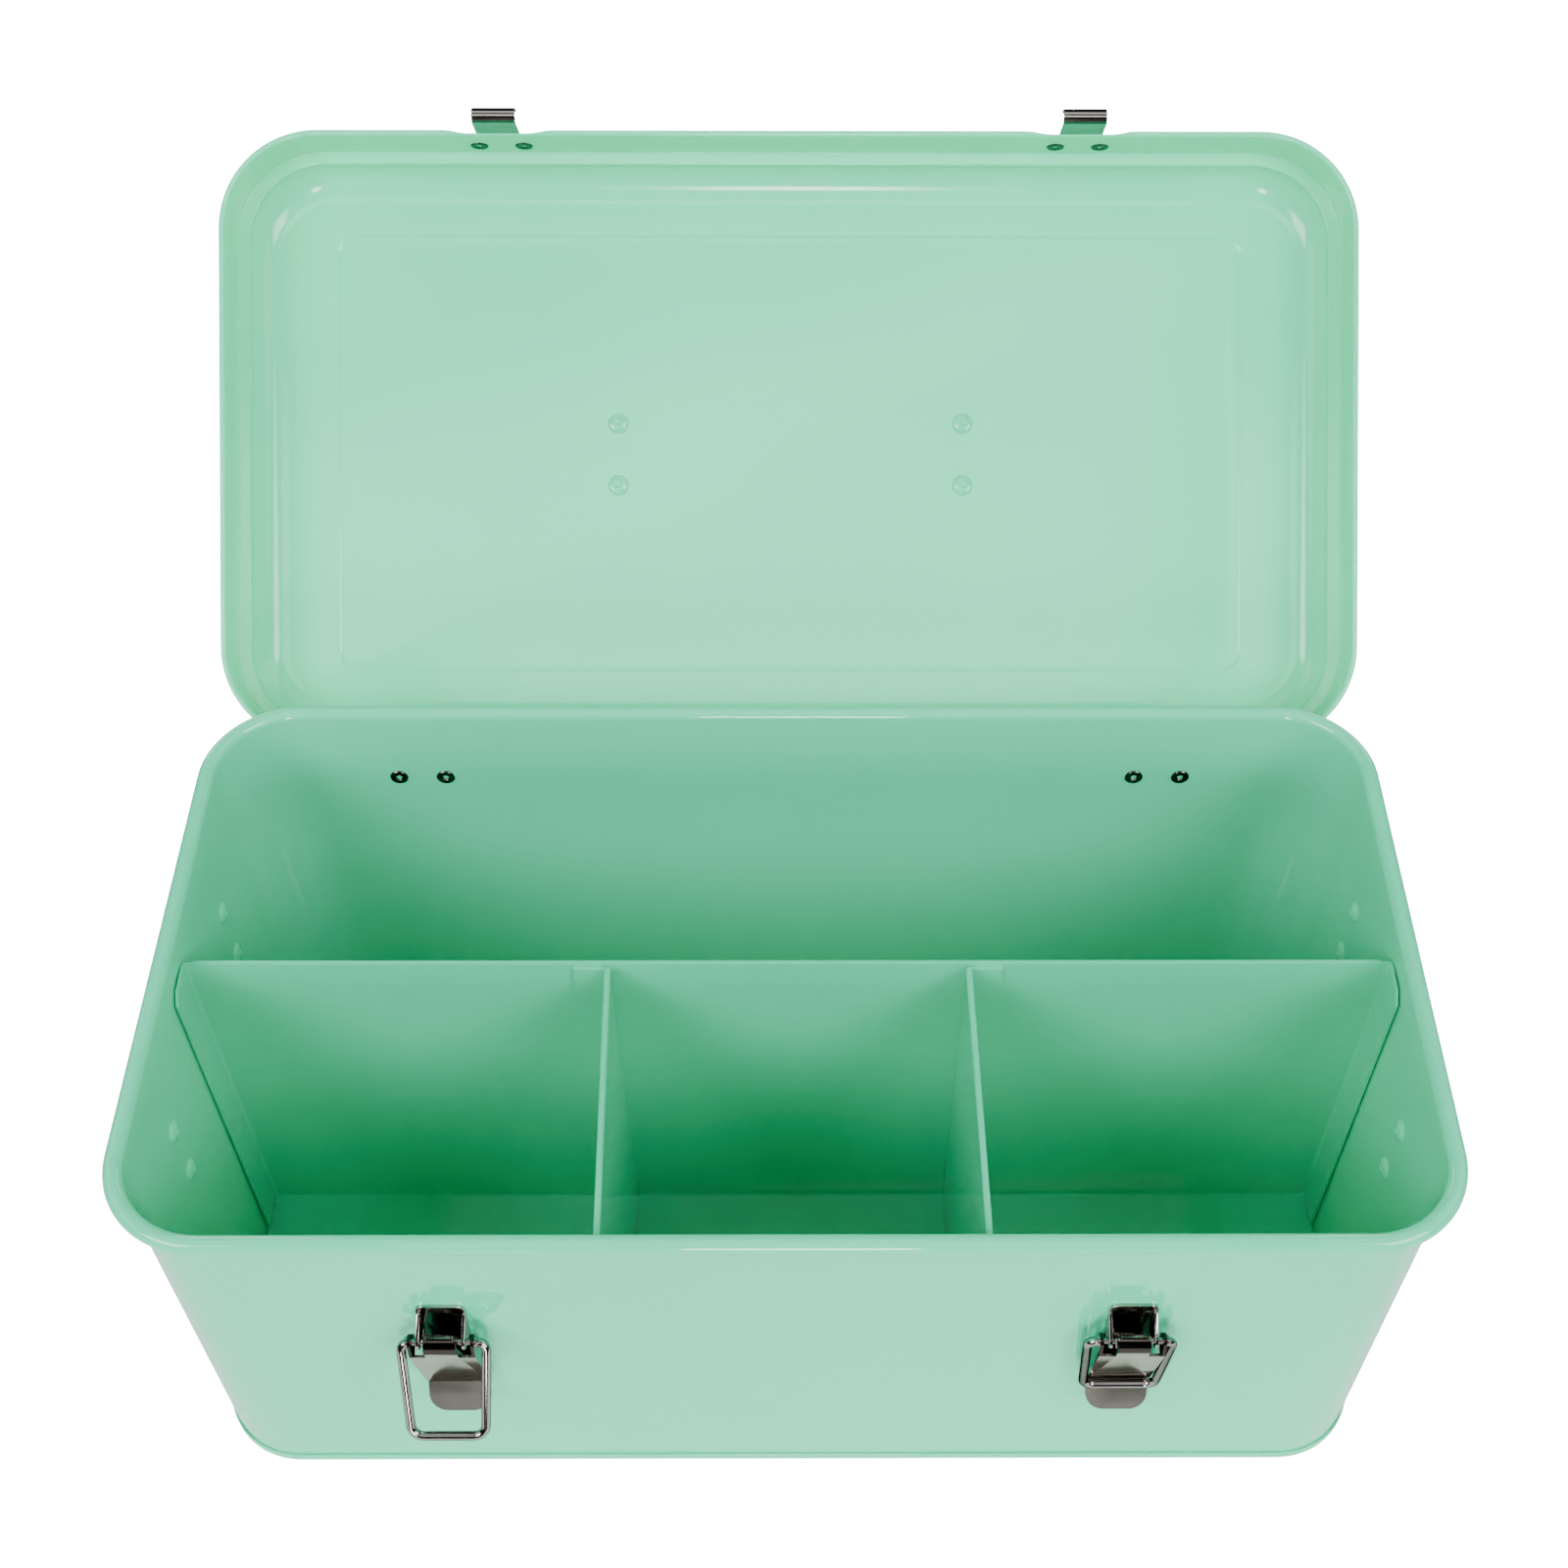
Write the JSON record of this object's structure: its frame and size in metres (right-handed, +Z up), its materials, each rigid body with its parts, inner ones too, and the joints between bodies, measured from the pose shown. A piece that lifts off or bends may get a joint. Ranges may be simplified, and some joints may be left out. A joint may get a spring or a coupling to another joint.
{
  "type": "garden seed organizer box",
  "caption": "Deep rectangular sheet-metal storage box with rounded corners, rolled rim, fixed dividers, domed hinged lid, draw latches and folding wire handles.",
  "frame": {"origin": "centre of the box's footprint, at the flat underside of the base pan", "axes": "+X to the right along the long front, +Y from the front with the latches to the rear with the hinges, +Z up"},
  "size_m": [0.3346, 0.3394, 0.2347],
  "materials": {
    "mint_paint": "glossy baked enamel",
    "mint_insert": "glossy baked enamel",
    "bright_nickel": "bright nickel plate",
    "plated_steel": "plated steel"
  },
  "bodies": {
    "box": {"body_shell": "mint_paint", "base_pan": "mint_paint", "divider_long": "mint_insert", "cross_divider_left": "mint_insert", "cross_divider_right": "mint_insert", "hinge_left_body_leaf": "bright_nickel", "hinge_right_body_leaf": "bright_nickel", "hinge_left_pin": "plated_steel", "hinge_right_pin": "plated_steel", "hinge_body_rivets": "plated_steel", "latch_left_bracket": "bright_nickel", "latch_right_bracket": "bright_nickel", "latch_left_pin": "plated_steel", "latch_right_pin": "plated_steel", "latch_left_spring": "plated_steel", "latch_right_spring": "plated_steel", "latch_rivets": "plated_steel", "side_handle_left_saddle_front": "mint_paint", "side_handle_left_saddle_rear": "mint_paint", "side_handle_right_saddle_front": "mint_paint", "side_handle_right_saddle_rear": "mint_paint", "side_handle_rivets": "mint_paint"},
    "lid": {"lid_shell": "mint_paint", "hinge_left_lid_leaf": "bright_nickel", "hinge_right_lid_leaf": "bright_nickel", "hinge_lid_rivets": "plated_steel", "catch_left": "bright_nickel", "catch_right": "bright_nickel", "catch_rivets": "plated_steel", "lid_handle_saddle_left": "mint_paint", "lid_handle_saddle_right": "mint_paint", "lid_handle_rivets": "mint_paint"},
    "latch_left_lever": {"latch_left_lever": "bright_nickel"},
    "latch_right_lever": {"latch_right_lever": "bright_nickel"},
    "latch_left_bail": {"latch_left_bail": "bright_nickel"},
    "latch_right_bail": {"latch_right_bail": "bright_nickel"},
    "lid_handle": {"lid_handle_bail": "mint_paint"},
    "side_handle_left": {"side_handle_left_bail": "mint_paint"},
    "side_handle_right": {"side_handle_right_bail": "mint_paint"}
  },
  "joints": [
    {"name": "lid_hinge", "type": "hinge", "parent": "box", "child": "lid", "pos_m": [0, 0.0882, 0.1147], "axis": [1, 0, 0], "range_deg": [0, 140.5]},
    {"name": "latch_left_lever_pin", "type": "hinge", "parent": "box", "child": "latch_left_lever", "pos_m": [-0.0865, -0.0891, 0.086], "axis": [1, 0, 0], "range_deg": [-150, 0], "stiffness_Nm_per_rad": 0.01, "springref_deg": 28.65},
    {"name": "latch_right_lever_pin", "type": "hinge", "parent": "box", "child": "latch_right_lever", "pos_m": [0.0865, -0.0891, 0.086], "axis": [1, 0, 0], "range_deg": [-150, 0], "stiffness_Nm_per_rad": 0.01, "springref_deg": 28.65},
    {"name": "latch_left_bail_pivot", "type": "hinge", "parent": "latch_left_lever", "child": "latch_left_bail", "pos_m": [-0.0865, -0.0879, 0.0832], "axis": [-1, 0, 0], "range_deg": [-35.1, 139.72]},
    {"name": "latch_right_bail_pivot", "type": "hinge", "parent": "latch_right_lever", "child": "latch_right_bail", "pos_m": [0.0865, -0.0879, 0.0832], "axis": [-1, 0, 0], "range_deg": [0, 174.82]},
    {"name": "lid_handle_pivot", "type": "hinge", "parent": "lid", "child": "lid_handle", "pos_m": [0, 0.17553, 0.14742], "axis": [1, 0, 0], "range_deg": [-50.5, 129.5]},
    {"name": "side_handle_left_pivot", "type": "hinge", "parent": "box", "child": "side_handle_left", "pos_m": [-0.1634, 0, 0.08975], "axis": [0, 1, 0], "range_deg": [0, 160]},
    {"name": "side_handle_right_pivot", "type": "hinge", "parent": "box", "child": "side_handle_right", "pos_m": [0.1634, 0, 0.08975], "axis": [0, -1, 0], "range_deg": [0, 160]}
  ]
}
